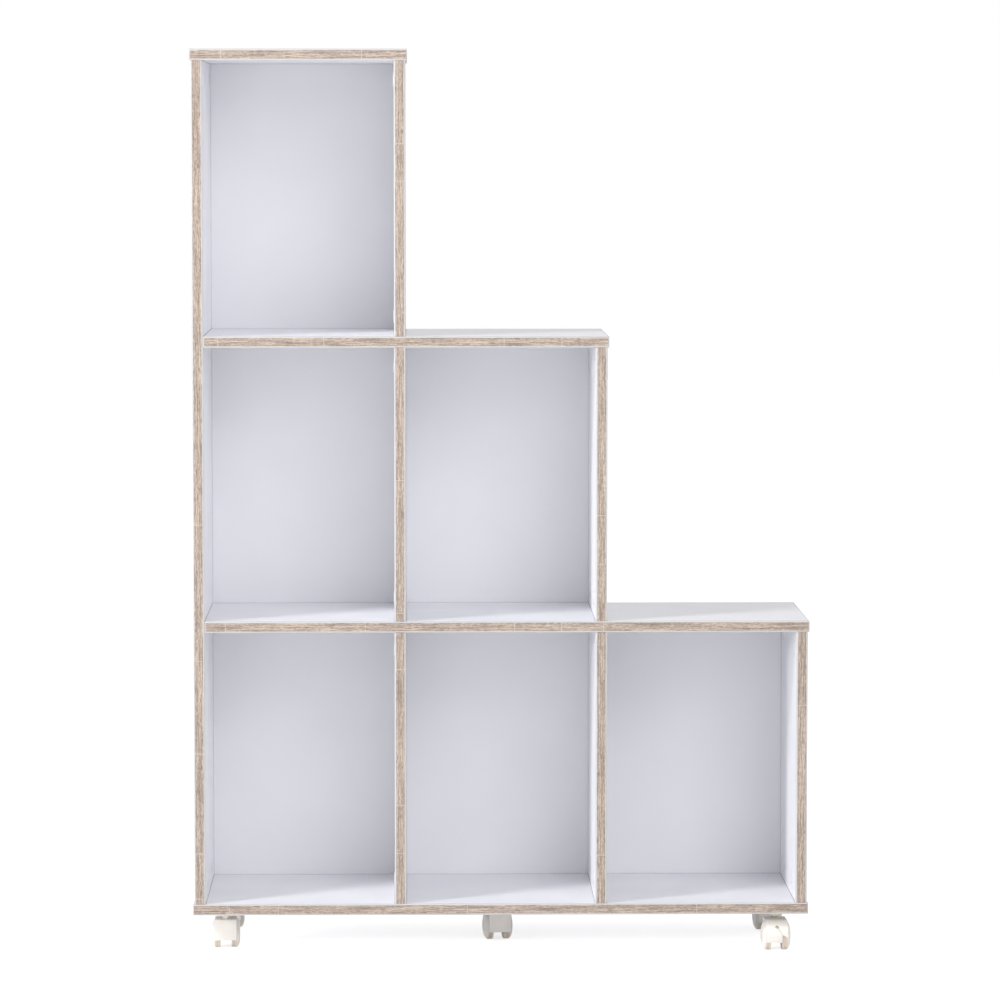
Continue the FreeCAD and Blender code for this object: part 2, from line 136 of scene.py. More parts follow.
# Melamine-faced chipboard: pressed paper film, so a cool white with a satin sheen and a faint pearl texture
boardFinish = {
    "tones": ("#EFEFF4", "#F3F3F7"),
    "mottleSize": 90.0,      # mm
    "mottleDetail": 3.0,
    "grainSize": 2.6,        # mm, the real pearl is near 0.6 mm and is drawn coarser so that it shows
    "grainDetail": 2.0,
    "grainHeight": 0.02,     # mm
    "grainStrength": 0.6,
    "smooth": 0.40,
    "rough": 0.52,
    "refraction": 1.5,
    # strength of the painted shade where boards meet
    "jointShadeStrength": 0.9,
}


def whiteMelamine():
    finish = boardFinish
    material, tree = startMaterial("whiteMelamine")
    place = addNode(tree, "TexCoord").outputs["Object"]
    colour = mottledColour(tree, place, finish["mottleSize"], finish["mottleDetail"], finish["tones"])
    pearl, normal = fineGrain(tree, place, finish)
    roughness = addNode(tree, "MapRange", {"From Min": noiseSpan[0], "From Max": noiseSpan[1],
                                           "To Min": finish["smooth"], "To Max": finish["rough"]},
                        {"Value": pearl})
    # the base colour carries painted shade where boards meet
    endMaterial(tree, {"IOR": finish["refraction"]},
                {"Base Color": addPaintedJointShade(tree, colour, finish["jointShadeStrength"]),
                 "Roughness": roughness.outputs["Result"], "Normal": normal})
    return material


# Edge banding with an oak print: greyish brown streaks along the board, fine dark pores, a few light saw
# marks across, and the white of the band left bare along both arrises
printFinish = {
    "white": "#CBCACB",
    "dark": "#887A70",
    "middle": "#AC9C91",
    "pale": "#C8B8A9",
    "darkStop": 0.38,         # tone at which each of the three browns is pure
    "middleStop": 0.50,
    "paleStop": 0.60,
    "halfWidth": 5.6,         # mm, printed part each side of the middle of the board
    "edgeSoftness": 0.5,      # mm
    "cornerFacing": 0.6,      # how far the middle of a rounded corner faces sideways
    "cornerSpread": 0.35,
    "bandLength": 150.0,      # mm, slow change of tone along the board
    "bandWidth": 6.0,
    "bandDetail": 2.0,
    "bandShare": 0.22,        # shares of the three layers in the tone
    "streakLength": 46.0,
    "streakWidth": 1.7,
    "streakDetail": 1.0,
    "streakShare": 0.46,
    "fleckLength": 4.5,       # short mottling
    "fleckWidth": 1.5,
    "fleckDetail": 1.0,
    "fleckShare": 0.32,
    "pore": "#7A6C60",
    "poreLength": 11.0,
    "poreWidth": 0.9,
    "poreDetail": 0.0,
    "poreStart": 0.58,        # noise values between which a pore darkens
    "poreFull": 0.70,
    "poreStrength": 0.7,
    "layerRoughness": 0.55,
    "sawMark": "#D0C7BF",
    "sawSpacing": 62.0,
    "sawWidth": 1.0,
    "sawRandomness": 0.8,
    "sawShare": 0.35,         # share of the places that carry a mark
    "sawStrength": 0.6,
    "roughness": 0.48,
    "refraction": 1.5,
    "bumpHeight": 0.06,
    "bumpStrength": 0.5,
}


# streaky tone with dark pores, on a sheet whose x runs along the board; the streaks also give the relief
def oakGrain(tree, sheet):
    p = printFinish
    layers = {}
    for layer in ("band", "streak", "fleck", "pore"):
        stretch = (1 / (p[layer + "Length"] * mm), 1 / (p[layer + "Width"] * mm), 1.0)
        mapped = addNode(tree, "Mapping", {"Scale": stretch}, {"Vector": sheet})
        noise = addNode(tree, "TexNoise", {"Scale": 1.0, "Detail": p[layer + "Detail"],
                                           "Roughness": p["layerRoughness"]},
                        {"Vector": mapped.outputs["Vector"]})
        layers[layer] = noise.outputs["Fac"]
    tone = addNode(tree, "Math", {"operation": "MULTIPLY", 1: p["fleckShare"]}, {0: layers["fleck"]})
    for layer in ("streak", "band"):
        tone = addNode(tree, "Math", {"operation": "MULTIPLY_ADD", 1: p[layer + "Share"]},
                       {0: layers[layer], 2: tone.outputs[0]})
    stops = [(p[brown + "Stop"], linear(p[brown])) for brown in ("dark", "middle", "pale")]
    wood = addNode(tree, "ValToRGB", {"stops": stops}, {"Fac": tone.outputs[0]})
    poreMask = addNode(tree, "MapRange", {"From Min": p["poreStart"], "From Max": p["poreFull"],
                                          "To Max": p["poreStrength"]}, {"Value": layers["pore"]})
    pored = addNode(tree, "Mix", {"data_type": "RGBA", mixOver: linear(p["pore"])},
                    {mixShare: poreMask.outputs["Result"], mixBase: wood.outputs["Color"]})
    return pored.outputs[mixResult], layers["streak"]


# strength of the saw marks: one place per spacing along the board, on some boards and places only
def sawMarks(tree, sheet, pitch):
    p = printFinish
    place = addNode(tree, "Mapping", {"Scale": (1 / (p["sawSpacing"] * mm), 1 / pitch, 1.0)},
                    {"Vector": sheet}).outputs["Vector"]
    cell = addNode(tree, "TexVoronoi", {"voronoi_dimensions": "2D", "Scale": 1.0,
                                        "Randomness": p["sawRandomness"]}, {"Vector": place})
    centre = addNode(tree, "SeparateXYZ", {}, {"Vector": cell.outputs["Position"]})
    here = addNode(tree, "SeparateXYZ", {}, {"Vector": place})
    offset = addNode(tree, "Math", {"operation": "SUBTRACT"}, {0: here.outputs["X"], 1: centre.outputs["X"]})
    distance = addNode(tree, "Math", {"operation": "ABSOLUTE"}, {0: offset.outputs[0]})
    near = addNode(tree, "Math", {"operation": "LESS_THAN", 1: p["sawWidth"] / p["sawSpacing"] / 2},
                   {0: distance.outputs[0]})
    draw = addNode(tree, "SeparateColor", {}, {"Color": cell.outputs["Color"]})
    marked = addNode(tree, "Math", {"operation": "LESS_THAN", 1: p["sawShare"]}, {0: draw.outputs["Red"]})
    both = addNode(tree, "Math", {"operation": "MULTIPLY"}, {0: near.outputs[0], 1: marked.outputs[0]})
    strength = addNode(tree, "Math", {"operation": "MULTIPLY", 1: p["sawStrength"]}, {0: both.outputs[0]})
    return strength.outputs[0]


# 1 where the print stops short of the arrises
def bareArrises(tree, across, middle, pitch):
    p = printFinish
    fromFirst = addNode(tree, "Math", {"operation": "SUBTRACT", 1: middle}, {0: across})
    fromMiddle = addNode(tree, "Math", {"operation": "WRAP", 1: pitch / 2, 2: -pitch / 2},
                         {0: fromFirst.outputs[0]})
    off = addNode(tree, "Math", {"operation": "ABSOLUTE"}, {0: fromMiddle.outputs[0]})
    return addNode(tree, "MapRange", {"From Min": (p["halfWidth"] - p["edgeSoftness"] / 2) * mm,
                                      "From Max": (p["halfWidth"] + p["edgeSoftness"] / 2) * mm},
                   {"Value": off.outputs[0]}).outputs["Result"]


# 1 on the rounded corner between a front and a banded end
def bareCorner(tree):
    p = printFinish
    facing = addNode(tree, "SeparateXYZ", {}, {"Vector": addNode(tree, "NewGeometry").outputs["Normal"]})
    turned = addNode(tree, "Math", {"operation": "ABSOLUTE"}, {0: facing.outputs["X"]})
    return addNode(tree, "Math", {"operation": "COMPARE", 1: p["cornerFacing"], 2: p["cornerSpread"]},
                   {0: turned.outputs[0]}).outputs[0]


# the print of the upright or the level boards, given the middle of the first and the pitch to each next one
def oakPrint(name, upright, middle, pitch):
    p = printFinish
    material, tree = startMaterial(name)
    place = addNode(tree, "TexCoord").outputs["Object"]
    parts = addNode(tree, "SeparateXYZ", {}, {"Vector": place})
    if upright:
        along = parts.outputs["Z"]
        across = parts.outputs["X"]
        bare = bareArrises(tree, across, middle, pitch)
    else:
        # x runs along the front and y along the banded ends, so their sum runs along both
        along = addNode(tree, "Math", {"operation": "ADD"},
                        {0: parts.outputs["X"], 1: parts.outputs["Y"]}).outputs[0]
        across = parts.outputs["Z"]
        bare = addNode(tree, "Math", {"operation": "MAXIMUM"},
                       {0: bareArrises(tree, across, middle, pitch), 1: bareCorner(tree)}).outputs[0]
    sheet = addNode(tree, "CombineXYZ", {}, {"X": along, "Y": across}).outputs["Vector"]
    grain, streak = oakGrain(tree, sheet)
    sawn = addNode(tree, "Mix", {"data_type": "RGBA", mixOver: linear(p["sawMark"])},
                   {mixShare: sawMarks(tree, sheet, pitch), mixBase: grain})
    colour = addNode(tree, "Mix", {"data_type": "RGBA", mixOver: linear(p["white"])},
                     {mixShare: bare, mixBase: sawn.outputs[mixResult]})
    bump = addNode(tree, "Bump", {"Strength": p["bumpStrength"], "Distance": p["bumpHeight"] * mm},
                   {"Height": streak})
    endMaterial(tree, {"Roughness": p["roughness"], "IOR": p["refraction"]},
                {"Base Color": colour.outputs[mixResult], "Normal": bump.outputs["Normal"]})
    return material


# Thin hardboard with a white lacquer: flatter than the boards, with a slight orange peel
backFinish = {
    "tones": ("#EDEDF2", "#F0F0F5"),
    "mottleSize": 140.0,     # mm
    "mottleDetail": 2.0,
    "grainSize": 3.0,        # mm
    "grainDetail": 1.0,
    "grainHeight": 0.02,     # mm
    "grainStrength": 0.5,
    "roughness": 0.58,
    "refraction": 1.48,
    # strength of the painted shade where the back meets the boards
    "jointShadeStrength": 0.35,
}


def lacqueredHardboard():
    finish = backFinish
    material, tree = startMaterial("lacqueredHardboard")
    place = addNode(tree, "TexCoord").outputs["Object"]
    colour = mottledColour(tree, place, finish["mottleSize"], finish["mottleDetail"], finish["tones"])
    normal = fineGrain(tree, place, finish)[1]
    # the base colour carries painted shade where the back meets the boards
    endMaterial(tree, {"Roughness": finish["roughness"], "IOR": finish["refraction"]},
                {"Base Color": addPaintedJointShade(tree, colour, finish["jointShadeStrength"]), "Normal": normal})
    return material


# Moulded plastics by slot: soft semi-gloss with a fine spark-eroded texture from the mould
plasticFinishes = {
    "white_nylon_hood": {"name": "mouldedNylonHood", "tones": ("#EFE9E2", "#F3EEE8"), "roughness": 0.36},
    "white_nylon_wheel": {"name": "softBeigeTread", "tones": ("#E2D5C6", "#EADDCF"), "roughness": 0.5},
    "white_cap": {"name": "mouldedCapPlastic", "tones": ("#E9E9EE", "#EEEEF2"), "roughness": 0.4},
}
mouldTexture = {
    "mottleSize": 14.0,      # mm
    "mottleDetail": 2.0,
    "grainSize": 0.9,        # mm
    "grainDetail": 1.0,
    "grainHeight": 0.02,     # mm
    "grainStrength": 0.4,
    "refraction": 1.53,
}


def mouldedPlastic(finish):
    material, tree = startMaterial(finish["name"])
    place = addNode(tree, "TexCoord").outputs["Object"]
    colour = mottledColour(tree, place, mouldTexture["mottleSize"], mouldTexture["mottleDetail"],
                           finish["tones"])
    normal = fineGrain(tree, place, mouldTexture)[1]
    endMaterial(tree, {"Roughness": finish["roughness"], "IOR": mouldTexture["refraction"]},
                {"Base Color": colour, "Normal": normal})
    return material


# Metals by slot: plating is cloudy and fairly bright, a casting is dull and pitted, drawn wire is streaked
metalFinishes = {
    "zinc_plated_steel": {"name": "zincPlatedSteel", "tones": ("#ABA79B", "#CFCBBF"), "cloudSize": 5.0,
                          "smooth": 0.28, "rough": 0.42},
    "zinc_casting": {"name": "zincCasting", "tones": ("#8B8E92", "#A9ACAF"), "cloudSize": 1.2,
                     "smooth": 0.45, "rough": 0.62},
    "steel_axle": {"name": "groundSteel", "tones": ("#A7A8AA", "#C4C5C7"), "cloudSize": 0.8,
                   "smooth": 0.22, "rough": 0.36},
    "spring_steel": {"name": "blueSpringSteel", "tones": ("#5C6067", "#7B8088"), "cloudSize": 1.5,
                     "smooth": 0.3, "rough": 0.45},
    "bright_nail": {"name": "brightDrawnWire", "tones": ("#9FA2A6", "#C6C9CC"), "cloudSize": 1.0,
                    "smooth": 0.3, "rough": 0.5},
}
metalDetail = 4.0


def metal(finish):
    material, tree = startMaterial(finish["name"])
    place = addNode(tree, "TexCoord").outputs["Object"]
    cloud = addNode(tree, "TexNoise", {"Scale": 1 / (finish["cloudSize"] * mm), "Detail": metalDetail},
                    {"Vector": place}).outputs["Fac"]
    stops = [(stop, linear(tone)) for stop, tone in zip(mottleStops, finish["tones"])]
    colour = addNode(tree, "ValToRGB", {"stops": stops}, {"Fac": cloud})
    roughness = addNode(tree, "MapRange", {"From Min": noiseSpan[0], "From Max": noiseSpan[1],
                                           "To Min": finish["smooth"], "To Max": finish["rough"]},
                        {"Value": cloud})
    endMaterial(tree, {"Metallic": 1.0},
                {"Base Color": colour.outputs["Color"], "Roughness": roughness.outputs["Result"]})
    return material


# Beech: pale pinkish wood with short dark flecks
beechFinish = {
    "dark": "#B58F68",
    "light": "#D9BC94",
    "darkStop": 0.4,
    "lightStop": 0.6,
    "fleckLength": 4.0,      # mm
    "fleckWidth": 0.8,       # mm
    "fleckDetail": 3.0,
    "roughness": 0.6,
}


def beech():
    finish = beechFinish
    material, tree = startMaterial("flutedBeech")
    place = addNode(tree, "TexCoord").outputs["Object"]
    perLength = 1 / (finish["fleckLength"] * mm)
    perWidth = 1 / (finish["fleckWidth"] * mm)
    mapped = addNode(tree, "Mapping", {"Scale": (perLength, perWidth, perLength)}, {"Vector": place})
    fleck = addNode(tree, "TexNoise", {"Scale": 1.0, "Detail": finish["fleckDetail"]},
                    {"Vector": mapped.outputs["Vector"]})
    stops = [(finish[tone + "Stop"], linear(finish[tone])) for tone in ("dark", "light")]
    colour = addNode(tree, "ValToRGB", {"stops": stops}, {"Fac": fleck.outputs["Fac"]})
    endMaterial(tree, {"Roughness": finish["roughness"]}, {"Base Color": colour.outputs["Color"]})
    return material


def boxMiddle(node, axis):
    low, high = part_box(node)
    return (low[axis] + high[axis]) / 2


# the print runs along each board, so the bands have two materials
leftMiddle = boxMiddle("left_side_panel", 0)
bottomMiddle = boxMiddle("bottom_panel", 2)
columnPitch = boxMiddle("bottom_row_left_divider", 0) - leftMiddle
rowPitch = boxMiddle("lower_shelf", 2) - bottomMiddle
levelPrint = oakPrint("oakPrintLevel", False, bottomMiddle, rowPitch)
uprightPrint = oakPrint("oakPrintUpright", True, leftMiddle, columnPitch)
levelBands = [board + "_edge_band" for board in ("bottom_panel", "lower_shelf", "upper_shelf", "top_panel")]

# every other node takes the finish of its slot
finishOf = {"white_board": whiteMelamine(), "white_back": lacqueredHardboard(), "beech": beech()}
for slot, finish in plasticFinishes.items():
    finishOf[slot] = mouldedPlastic(finish)
for slot, finish in metalFinishes.items():
    finishOf[slot] = metal(finish)

for node, thing in frame["nodes"].items():
    if slotOf[node] == "wood_print_edge":
        finish = levelPrint if node in levelBands else uprightPrint
    else:
        finish = finishOf[slotOf[node]]
    thing.data.materials.clear()
    thing.data.materials.append(finish)
print("Finishes set on", len(frame["nodes"]), "nodes")

# tools for modelling by hand
modelling = {
    "mergeReach": 0.03,      # mm, vertices that a cut leaves closer than this become one
    "pickReach": 0.1,        # mm, how near to a plane or rim an edge counts as lying on it
    "facing": 0.9,           # least part of a face's normal along the way it faces
    "sharpAngle": 40.0,      # degrees, edges that turn more than this are sharp
}
pickReach = modelling["pickReach"] * mm


def deselectAll():
    if bpy.context.object and bpy.context.object.mode != "OBJECT":
        bpy.ops.object.mode_set(mode="OBJECT")
    bpy.ops.object.select_all(action="DESELECT")


def makeActive(thing):
    deselectAll()
    thing.select_set(True)
    bpy.context.view_layer.objects.active = thing


def applyPlace(thing):
    makeActive(thing)
    bpy.ops.object.transform_apply(location=True, rotation=True, scale=True)


def useModifier(thing, kind, **settings):
    makeActive(thing)
    modifier = thing.modifiers.new(kind.title(), kind)
    for key, value in settings.items():
        setattr(modifier, key, value)
    bpy.ops.object.modifier_apply(modifier=modifier.name)


def roundSharpEdges(thing, radius, steps):
    useModifier(thing, "BEVEL", width=radius * mm, segments=steps, limit_method="ANGLE",
                angle_limit=math.radians(modelling["sharpAngle"]))


def roundedShading(thing, degrees):
    makeActive(thing)
    bpy.ops.object.shade_smooth_by_angle(angle=math.radians(degrees))


def clearSelection(thing, kind):
    makeActive(thing)
    bpy.ops.object.mode_set(mode="EDIT")
    bpy.ops.mesh.select_mode(type=kind)
    bpy.ops.mesh.select_all(action="DESELECT")
    bpy.ops.object.mode_set(mode="OBJECT")


# edit mode with the faces, or the edges between two points, that pass the test selected
def editFaces(thing, test):
    clearSelection(thing, "FACE")
    for face in thing.data.polygons:
        face.select = test(face)
    bpy.ops.object.mode_set(mode="EDIT")


def editEdges(thing, test):
    clearSelection(thing, "EDGE")
    points = thing.data.vertices
    for edge in thing.data.edges:
        edge.select = test(points[edge.vertices[0]].co, points[edge.vertices[1]].co)
    bpy.ops.object.mode_set(mode="EDIT")


def combine(thing, other, operation):
    useModifier(thing, "BOOLEAN", operation=operation, object=other, solver="EXACT")
    bpy.data.objects.remove(other)
    editFaces(thing, lambda face: True)
    bpy.ops.mesh.remove_doubles(threshold=modelling["mergeReach"] * mm)
    bpy.ops.mesh.dissolve_degenerate(threshold=modelling["mergeReach"] * mm)
    bpy.ops.object.mode_set(mode="OBJECT")


def barAlongX(middle, length, radius, sides, ends="NGON"):
    deselectAll()
    bpy.ops.mesh.primitive_cylinder_add(vertices=sides, radius=radius, depth=length, end_fill_type=ends,
                                        location=middle, rotation=(0, math.pi / 2, 0))
    bar = bpy.context.object
    applyPlace(bar)
    return bar


def barAlongZ(foot, length, radius, sides):
    deselectAll()
    bpy.ops.mesh.primitive_cylinder_add(vertices=sides, radius=radius, depth=length,
                                        location=foot + Vector((0, 0, length / 2)))
    bar = bpy.context.object
    applyPlace(bar)
    return bar


def blockBetween(low, high):
    deselectAll()
    bpy.ops.mesh.primitive_cube_add(size=1.0, location=(low + high) / 2, scale=high - low)
    block = bpy.context.object
    applyPlace(block)
    return block


# the casters share one form, measured from the first caster's joints
swivelPlace = Vector(joints["front_left_caster_turn"]["pos_m"])
axlePlace = Vector(joints["front_left_left_wheel_roll"]["pos_m"])
wheelRadius = axlePlace.z
bossTop = swivelPlace.z
trail = (axlePlace - swivelPlace).xy.length
axleMiddle = Vector((0, -trail, wheelRadius))     # with the swivel axis at the origin, wheels trailing to -Y

wheelForm = {                # mm
    "width": 11.2,
    "innerFace": 7.5,        # from the middle of the caster
    "domeDepth": 4.0,
    "domeBulge": 1.4,
    "domeSteps": 8,
    "hubRadius": 8.0,
    "hubRecess": 0.6,
    "edgeRounding": 0.9,
    "edgeSteps": 4,
    "grooveRadius": 0.9,     # round groove in the middle of the tread
    "grooveSides": 12,
    "boreRadius": 2.55,
    "boreDepth": 7.0,
    "fineRounding": 0.2,     # of the edges left sharp
    "fineSteps": 2,
    "smoothAngle": 40.0,     # degrees
    "sides": 80,
}


# right-hand wheel: a short drum whose outer face is drawn up into a dome with a sunk hub; the dome is white
# like the hood, the tread moulded on in beige
def makeWheel():
    form = wheelForm
    treadWidth = form["width"] - form["domeDepth"]
    wheel = barAlongZ(Vector((0, 0, 0)), treadWidth * mm, wheelRadius, form["sides"])
    radius = wheelRadius / mm
    fall = radius - form["hubRadius"]
    slope = math.hypot(fall, form["domeDepth"])
    profile = []
    for step in range(form["domeSteps"] + 1):
        t = step / form["domeSteps"]
        swell = 4 * form["domeBulge"] * t * (1 - t)
        profile.append((radius - fall * t + swell * form["domeDepth"] / slope,
                        form["domeDepth"] * t + swell * fall / slope))
    editFaces(wheel, lambda face: face.normal.z > modelling["facing"])
    for (r0, h0), (r1, h1) in zip(profile, profile[1:]):
        bpy.ops.mesh.inset(thickness=(r0 - r1) * mm, depth=(h1 - h0) * mm)
    bpy.ops.mesh.inset(thickness=form["hubRecess"] * mm, depth=-form["hubRecess"] * mm)

    editFaces(wheel, lambda face: face.normal.z < -modelling["facing"])
    bpy.ops.mesh.inset(thickness=(radius - form["boreRadius"]) * mm, depth=0.0)
    bpy.ops.mesh.extrude_region_move(TRANSFORM_OT_translate={"value": (0, 0, form["boreDepth"] * mm)})

    onRim = wheelRadius - pickReach
    editEdges(wheel, lambda a, b: min(a.xy.length, b.xy.length) > onRim and abs(a.z - b.z) < pickReach)
    bpy.ops.mesh.bevel(offset=form["edgeRounding"] * mm, segments=form["edgeSteps"], affect="EDGES")
    deselectAll()
    bpy.ops.mesh.primitive_torus_add(location=(0, 0, treadWidth / 2 * mm), major_radius=wheelRadius,
                                     minor_radius=form["grooveRadius"] * mm, major_segments=form["sides"],
                                     minor_segments=form["grooveSides"])
    combine(wheel, bpy.context.object, "DIFFERENCE")

    wheel.data.materials.append(finishOf["white_nylon_wheel"])
    wheel.data.materials.append(finishOf["white_nylon_hood"])
    for face in wheel.data.polygons:
        face.material_index = 1 if face.center.z > treadWidth * mm else 0
    wheel.rotation_euler = (0, math.pi / 2, 0)
    wheel.location = axleMiddle + Vector((form["innerFace"] * mm, 0, 0))
    applyPlace(wheel)
    roundSharpEdges(wheel, form["fineRounding"], form["fineSteps"])
    roundedShading(wheel, form["smoothAngle"])
    return wheel


hoodForm = {                 # mm
    "width": 29.0,
    "wall": 1.4,
    "wheelGap": 1.0,         # wheel tread to the inside of the hood
    "floorGap": 12.0,        # floor to the front edge and to the web
    "notchHeight": 17.5,     # floor to the rear edge over one of the wheels
    "notchRise": 4.5,        # how much higher that edge is at the web
    "frontDrop": 0.9,        # top of the upright front below the top of the boss
    "frontWall": 1.5,        # front face beyond the boss
    "frontInset": 0.05,      # each end of the front inside the end of the drum
    "frontRounding": 1.4,
    "frontSteps": 5,
    "webThickness": 14.0,
    "webInset": 0.56,        # rim of the web inside the drum, within the wall
    "roomInset": 1.68,       # rim of the wheels' rooms inside the drum, just past the wall
    "bossDiameter": 10.4,
    "bossSides": 48,
    "rimRounding": 0.6,
    "rimSteps": 3,
    "pinBore": 3.1,          # radius
    "pinDepth": 16.3,
    "ringBore": 3.9,
    "ringTop": 10.4,         # below the top of the boss
    "ringHeight": 1.9,
    "boreSides": 32,
    "dotDiameter": 5.0,      # blind hole in the back
    "dotDepth": 4.5,
    "dotAngle": 38.0,        # degrees
    "slitWidth": 1.9,        # slit from the blind hole to the corner of the notch
    "slitDepth": 0.8,
    "slitCut": 6.0,          # height of the cutting block
    "smoothAngle": 35.0,     # degrees
    "sides": 96,
}


# cut away what lies below a height
def trimBelow(thing, height, fill):
    editFaces(thing, lambda face: True)
    bpy.ops.mesh.bisect(plane_co=(0, 0, height), plane_no=(0, 0, 1), clear_inner=True, use_fill=fill)


# drum wall over both wheels, cut away at the rear over one of them
def makeDrum(outer):
    form = hoodForm
    wall = form["wall"] * mm
    drum = barAlongX(axleMiddle, form["width"] * mm, outer - wall / 2, form["sides"], "NOTHING")
    trimBelow(drum, form["floorGap"] * mm, False)
    useModifier(drum, "SOLIDIFY", thickness=wall, offset=0.0, use_even_offset=True)
    halfWidth = form["width"] / 2 * mm
    notch = blockBetween(Vector((form["webThickness"] / 2 * mm, axleMiddle.y - 2 * outer, 0)),
                         Vector((halfWidth + wall, axleMiddle.y, form["notchHeight"] * mm)))
    editEdges(notch, lambda a, b: max(a.x, b.x) < halfWidth and min(a.z, b.z) > pickReach)
    bpy.ops.transform.translate(value=(0, 0, form["notchRise"] * mm))
    combine(drum, notch, "DIFFERENCE")
    roundSharpEdges(drum, form["rimRounding"], form["rimSteps"])
    return drum


# web between the wheels, with the boss that takes the kingpin and the upright front
def makeWeb(outer):
    form = hoodForm
    floorGap = form["floorGap"] * mm
    web = barAlongX(axleMiddle, form["webThickness"] * mm, outer - form["webInset"] * mm, form["sides"])
    trimBelow(web, floorGap, True)
    roundSharpEdges(web, form["rimRounding"], form["rimSteps"])

    boss = barAlongZ(Vector((0, 0, wheelRadius)), bossTop - wheelRadius, form["bossDiameter"] / 2 * mm,
                     form["bossSides"])
    editEdges(boss, lambda a, b: min(a.z, b.z) > bossTop - pickReach)
    bpy.ops.mesh.bevel(offset=form["rimRounding"] * mm, segments=form["rimSteps"], affect="EDGES")
    combine(web, boss, "UNION")

    halfFront = (form["width"] / 2 - form["frontInset"]) * mm
    frontTop = bossTop - form["frontDrop"] * mm
    frontFace = (form["bossDiameter"] / 2 + form["frontWall"]) * mm
    front = blockBetween(Vector((-halfFront, axleMiddle.y, floorGap)),
                         Vector((halfFront, frontFace, frontTop)))
    editEdges(front, lambda a, b: min(a.y, b.y) > 0 and min(a.z, b.z) > frontTop - pickReach)
    bpy.ops.mesh.bevel(offset=form["frontRounding"] * mm, segments=form["frontSteps"], affect="EDGES")
    roundSharpEdges(front, form["rimRounding"], form["rimSteps"])
    combine(web, front, "UNION")

    for side in (-1, 1):
        roomMiddle = axleMiddle + Vector((side * (form["webThickness"] / 2 + form["width"] / 2) * mm, 0, 0))
        room = barAlongX(roomMiddle, form["width"] * mm, outer - form["roomInset"] * mm, form["sides"])
        combine(web, room, "DIFFERENCE")
    return web


# blind hole in the back of the drum, and a slit from it to the corner of the notch
def cutBack(hood, outer):
    form = hoodForm
    tilt = math.radians(form["dotAngle"])
    rearward = Vector((0, -math.cos(tilt), math.sin(tilt)))
    slitTop = axleMiddle + rearward * outer
    deselectAll()
    bpy.ops.mesh.primitive_cylinder_add(vertices=form["boreSides"], radius=form["dotDiameter"] / 2 * mm,
                                        depth=2 * form["dotDepth"] * mm, location=slitTop,
                                        rotation=rearward.to_track_quat("Z", "Y").to_euler())
    dot = bpy.context.object
    applyPlace(dot)
    combine(hood, dot, "DIFFERENCE")

    notchAngle = math.asin(((form["notchHeight"] + form["notchRise"]) * mm - wheelRadius) / outer)
    slitFoot = axleMiddle + Vector((form["webThickness"] / 2 * mm, -outer * math.cos(notchAngle),
                                    outer * math.sin(notchAngle)))
    run = slitFoot - slitTop
    along = run.normalized()
    middle = (slitTop + slitFoot) / 2
    outward = (middle - axleMiddle) * Vector((0, 1, 1))
    outward = (outward - outward.project(along)).normalized()
    deselectAll()
    bpy.ops.mesh.primitive_cube_add(
        size=1.0, location=middle + outward * (form["slitCut"] / 2 - form["slitDepth"]) * mm,
        rotation=Matrix((along.cross(outward), along, outward)).transposed().to_euler(),
        scale=(form["slitWidth"] * mm, run.length + form["slitWidth"] * mm, form["slitCut"] * mm))
    slit = bpy.context.object
    applyPlace(slit)
    combine(hood, slit, "DIFFERENCE")


# hood: drum and web in one, bored for the kingpin and its grip ring
def makeHood():
    form = hoodForm
    outer = wheelRadius + (form["wheelGap"] + form["wall"]) * mm
    hood = makeDrum(outer)
    combine(hood, makeWeb(outer), "UNION")

    pinFoot = Vector((0, 0, bossTop - form["pinDepth"] * mm))
    pin = barAlongZ(pinFoot, 2 * form["pinDepth"] * mm, form["pinBore"] * mm, form["boreSides"])
    combine(hood, pin, "DIFFERENCE")
    ringFoot = Vector((0, 0, bossTop - (form["ringTop"] + form["ringHeight"]) * mm))
    ring = barAlongZ(ringFoot, form["ringHeight"] * mm, form["ringBore"] * mm, form["boreSides"])
    combine(hood, ring, "DIFFERENCE")

    cutBack(hood, outer)
    roundedShading(hood, form["smoothAngle"])
    hood.data.materials.append(finishOf["white_nylon_hood"])
    return hood


def placeCopy(master, name, turn, place):
    makeActive(master)
    bpy.ops.object.duplicate()
    piece = bpy.context.object
    piece.name = name
    piece.data.name = name
    piece.rotation_euler = (0, 0, turn)
    piece.location = place
    applyPlace(piece)
    return piece


wheelMaster = makeWheel()
hoodMaster = makeHood()
corners = [name[:-len("_caster_turn")] for name in joints if name.endswith("_caster_turn")]
for corner in corners:
    foot = Vector(joints[corner + "_caster_turn"]["pos_m"])
    foot.z = 0.0
    axis = joints[corner + "_left_wheel_roll"]["axis"]
    heading = math.atan2(axis[1], axis[0])
    hood = placeCopy(hoodMaster, corner + "_moulded_hood", heading, foot)
    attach(hood, corner + "_swivel")
    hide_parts(corner + "_caster_hood")
    # half a turn about the upright through the axle gives the wheel on the other side
    for side, sign in (("left", -1), ("right", 1)):
        turn = heading
        shift = Vector((0, 0, 0))
        if sign * math.cos(heading) < 0:
            turn = heading + math.pi
            shift = Vector((2 * trail * math.sin(heading), -2 * trail * math.cos(heading), 0))
        wheel = placeCopy(wheelMaster, corner + "_" + side + "_moulded_wheel", turn, foot + shift)
        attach(wheel, corner + "_" + side + "_roller")
        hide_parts(corner + "_caster_" + side + "_wheel")
bpy.data.objects.remove(wheelMaster)
bpy.data.objects.remove(hoodMaster)
print("Casters modelled:", len(corners))

